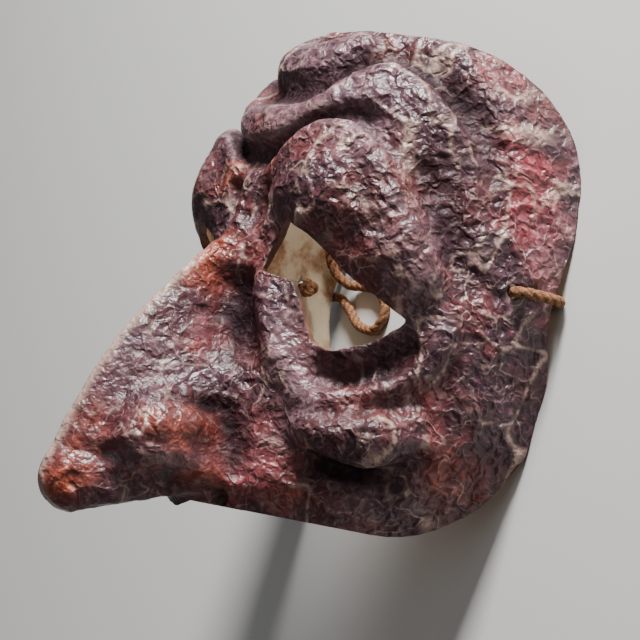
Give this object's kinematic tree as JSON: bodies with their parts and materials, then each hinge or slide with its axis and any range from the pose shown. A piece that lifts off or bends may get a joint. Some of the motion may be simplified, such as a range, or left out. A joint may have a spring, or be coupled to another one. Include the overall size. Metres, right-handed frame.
{
  "type": "commedia dell'arte half mask",
  "caption": "Grotesque half mask with a long hooked nose, furrowed brow, open eyes and a tie cord, lying on its rim.",
  "frame": {"origin": "middle of the mask's outline, on the surface that its rim rests on", "axes": "+Z the way the face looks, up when the mask lies on its rim; +Y towards the forehead; +X towards the wearer's left temple"},
  "size_m": [0.165, 0.1854, 0.1448],
  "materials": {
    "lacquered_leather": "crumpled, semi-gloss, stained purple brown with orange and pink",
    "twisted_cord": "rough twisted fibre"
  },
  "bodies": {
    "root": {"mask_shell": "lacquered_leather", "tie_cord": "twisted_cord"}
  },
  "joints": []
}
